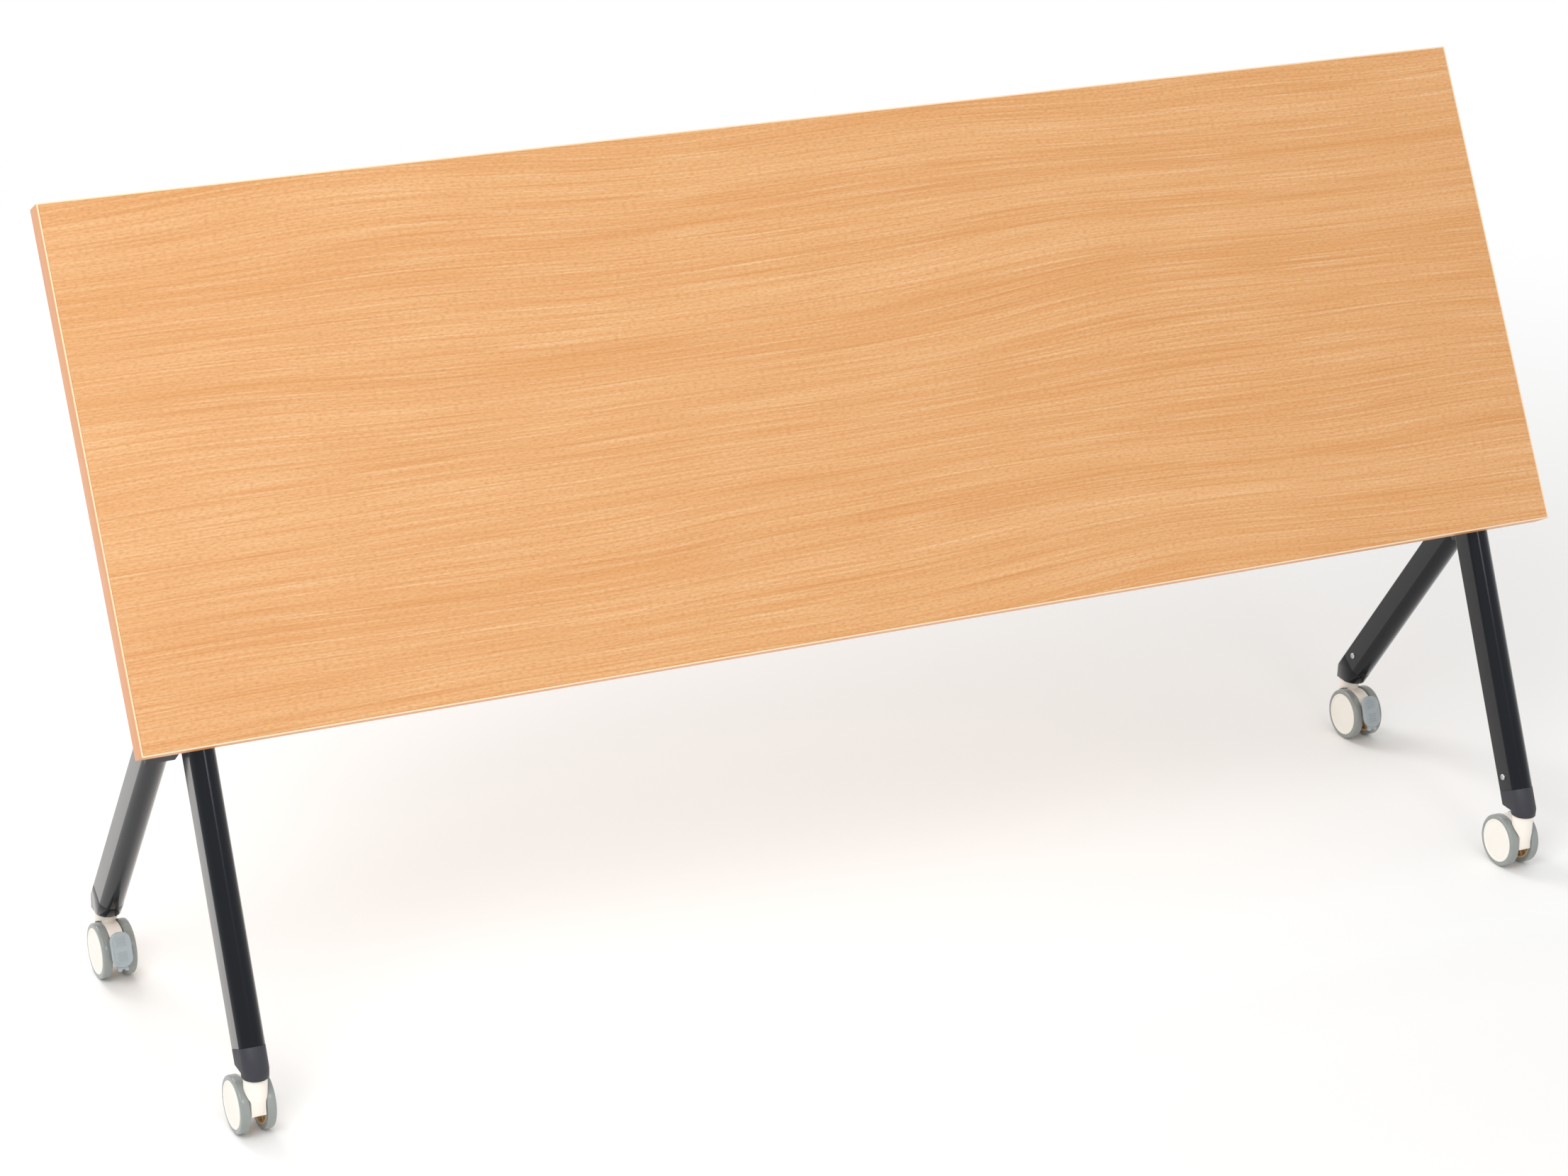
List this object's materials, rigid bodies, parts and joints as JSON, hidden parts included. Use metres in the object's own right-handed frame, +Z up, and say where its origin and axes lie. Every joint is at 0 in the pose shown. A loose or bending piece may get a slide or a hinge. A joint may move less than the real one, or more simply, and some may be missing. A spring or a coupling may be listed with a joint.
{
  "type": "flip top training table",
  "caption": "Rectangular training table with a beech laminate top that tilts up for storage, on black splayed tube legs with swivel twin-wheel casters.",
  "frame": {"origin": "on the floor, under the middle of the bounding box", "axes": "+X along the length, +Y to the back, +Z up"},
  "size_m": [1.8, 0.4668, 0.9245],
  "materials": {
    "beech_laminate": "satin",
    "edge_band": "satin",
    "black_paint": "glossy",
    "dark_casting": "satin",
    "dark_plastic": "matte",
    "steel": "polished",
    "ivory_plastic": "satin",
    "white_plastic": "satin",
    "grey_tread": "satin",
    "grey_plastic": "satin"
  },
  "bodies": {
    "frame": {"crossbeam": "black_paint", "front_leg_left": "black_paint", "front_foot_cap_left": "dark_plastic", "front_cap_screw_left": "steel", "rear_leg_left": "black_paint", "rear_foot_cap_left": "dark_plastic", "rear_cap_screw_left": "steel", "frame_joint_left": "dark_casting", "upper_post_left": "black_paint", "hinge_head_left": "dark_casting", "pivot_pin_left": "steel", "front_leg_right": "black_paint", "front_foot_cap_right": "dark_plastic", "front_cap_screw_right": "steel", "rear_leg_right": "black_paint", "rear_foot_cap_right": "dark_plastic", "rear_cap_screw_right": "steel", "frame_joint_right": "dark_casting", "upper_post_right": "black_paint", "hinge_head_right": "dark_casting", "pivot_pin_right": "steel"},
    "top": {"top_board": "beech_laminate", "edge_band": "edge_band", "hinge_bracket_left": "dark_casting", "hinge_bracket_right": "dark_casting"},
    "release_handle": {"turn_handle": "dark_plastic"},
    "lock_rod_left": {"lock_rod_left": "steel"},
    "lock_rod_right": {"lock_rod_right": "steel"},
    "front_left_caster": {"front_left_caster_fork": "ivory_plastic", "front_left_caster_stem": "steel", "front_left_caster_axle": "steel"},
    "front_left_wheel_inner": {"front_left_wheel_hub_inner": "white_plastic", "front_left_wheel_tread_inner": "grey_tread"},
    "front_left_wheel_outer": {"front_left_wheel_hub_outer": "white_plastic", "front_left_wheel_tread_outer": "grey_tread"},
    "front_right_caster": {"front_right_caster_fork": "ivory_plastic", "front_right_caster_stem": "steel", "front_right_caster_axle": "steel"},
    "front_right_wheel_inner": {"front_right_wheel_hub_inner": "white_plastic", "front_right_wheel_tread_inner": "grey_tread"},
    "front_right_wheel_outer": {"front_right_wheel_hub_outer": "white_plastic", "front_right_wheel_tread_outer": "grey_tread"},
    "rear_left_caster": {"rear_left_caster_fork": "ivory_plastic", "rear_left_caster_stem": "steel", "rear_left_caster_axle": "steel"},
    "rear_left_wheel_inner": {"rear_left_wheel_hub_inner": "white_plastic", "rear_left_wheel_tread_inner": "grey_tread"},
    "rear_left_wheel_outer": {"rear_left_wheel_hub_outer": "white_plastic", "rear_left_wheel_tread_outer": "grey_tread"},
    "rear_left_pedal": {"rear_left_brake_pedal": "grey_plastic"},
    "rear_right_caster": {"rear_right_caster_fork": "ivory_plastic", "rear_right_caster_stem": "steel", "rear_right_caster_axle": "steel"},
    "rear_right_wheel_inner": {"rear_right_wheel_hub_inner": "white_plastic", "rear_right_wheel_tread_inner": "grey_tread"},
    "rear_right_wheel_outer": {"rear_right_wheel_hub_outer": "white_plastic", "rear_right_wheel_tread_outer": "grey_tread"},
    "rear_right_pedal": {"rear_right_brake_pedal": "grey_plastic"}
  },
  "joints": [
    {"name": "top_flip", "type": "hinge", "parent": "frame", "child": "top", "pos_m": [0, 0.12413, 0.692], "axis": [-1, 0, 0], "range_deg": [0, 58.68]},
    {"name": "handle_turn", "type": "hinge", "parent": "frame", "child": "release_handle", "pos_m": [0, 0.14618, 0.62677], "axis": [0, 0, 1], "range_deg": [0, 40]},
    {"name": "rod_slide_left", "type": "slide", "parent": "frame", "child": "lock_rod_left", "axis": [-1, 0, 0], "range_m": [0, 0.0089]},
    {"name": "rod_slide_right", "type": "slide", "parent": "frame", "child": "lock_rod_right", "axis": [1, 0, 0], "range_m": [0, 0.0089]},
    {"name": "front_left_swivel", "type": "hinge", "parent": "frame", "child": "front_left_caster", "pos_m": [-0.822, -0.21837, 0.074], "axis": [0, 0, 1], "continuous": true},
    {"name": "front_left_wheel_inner_spin", "type": "hinge", "parent": "front_left_caster", "child": "front_left_wheel_inner", "pos_m": [-0.822, -0.19837, 0.0325], "axis": [1, 0, 0], "continuous": true},
    {"name": "front_left_wheel_outer_spin", "type": "hinge", "parent": "front_left_caster", "child": "front_left_wheel_outer", "pos_m": [-0.822, -0.19837, 0.0325], "axis": [1, 0, 0], "continuous": true},
    {"name": "front_right_swivel", "type": "hinge", "parent": "frame", "child": "front_right_caster", "pos_m": [0.822, -0.21837, 0.074], "axis": [0, 0, 1], "continuous": true},
    {"name": "front_right_wheel_inner_spin", "type": "hinge", "parent": "front_right_caster", "child": "front_right_wheel_inner", "pos_m": [0.822, -0.19837, 0.0325], "axis": [1, 0, 0], "continuous": true},
    {"name": "front_right_wheel_outer_spin", "type": "hinge", "parent": "front_right_caster", "child": "front_right_wheel_outer", "pos_m": [0.822, -0.19837, 0.0325], "axis": [1, 0, 0], "continuous": true},
    {"name": "rear_left_swivel", "type": "hinge", "parent": "frame", "child": "rear_left_caster", "pos_m": [-0.849, 0.20663, 0.074], "axis": [0, 0, 1], "continuous": true},
    {"name": "rear_left_wheel_inner_spin", "type": "hinge", "parent": "rear_left_caster", "child": "rear_left_wheel_inner", "pos_m": [-0.849, 0.18663, 0.0325], "axis": [1, 0, 0], "continuous": true},
    {"name": "rear_left_wheel_outer_spin", "type": "hinge", "parent": "rear_left_caster", "child": "rear_left_wheel_outer", "pos_m": [-0.849, 0.18663, 0.0325], "axis": [1, 0, 0], "continuous": true},
    {"name": "rear_left_pedal_rock", "type": "hinge", "parent": "rear_left_caster", "child": "rear_left_pedal", "pos_m": [-0.849, 0.16471, 0.04226], "axis": [1, 0, 0], "range_deg": [0, 10]},
    {"name": "rear_right_swivel", "type": "hinge", "parent": "frame", "child": "rear_right_caster", "pos_m": [0.849, 0.20663, 0.074], "axis": [0, 0, 1], "continuous": true},
    {"name": "rear_right_wheel_inner_spin", "type": "hinge", "parent": "rear_right_caster", "child": "rear_right_wheel_inner", "pos_m": [0.849, 0.18663, 0.0325], "axis": [1, 0, 0], "continuous": true},
    {"name": "rear_right_wheel_outer_spin", "type": "hinge", "parent": "rear_right_caster", "child": "rear_right_wheel_outer", "pos_m": [0.849, 0.18663, 0.0325], "axis": [1, 0, 0], "continuous": true},
    {"name": "rear_right_pedal_rock", "type": "hinge", "parent": "rear_right_caster", "child": "rear_right_pedal", "pos_m": [0.849, 0.16471, 0.04226], "axis": [1, 0, 0], "range_deg": [0, 10]}
  ],
  "couplings": [
    {"joint": "rod_slide_left", "follows": "handle_turn", "m_per_rad": 0.012738},
    {"joint": "rod_slide_right", "follows": "handle_turn", "m_per_rad": 0.012738}
  ]
}
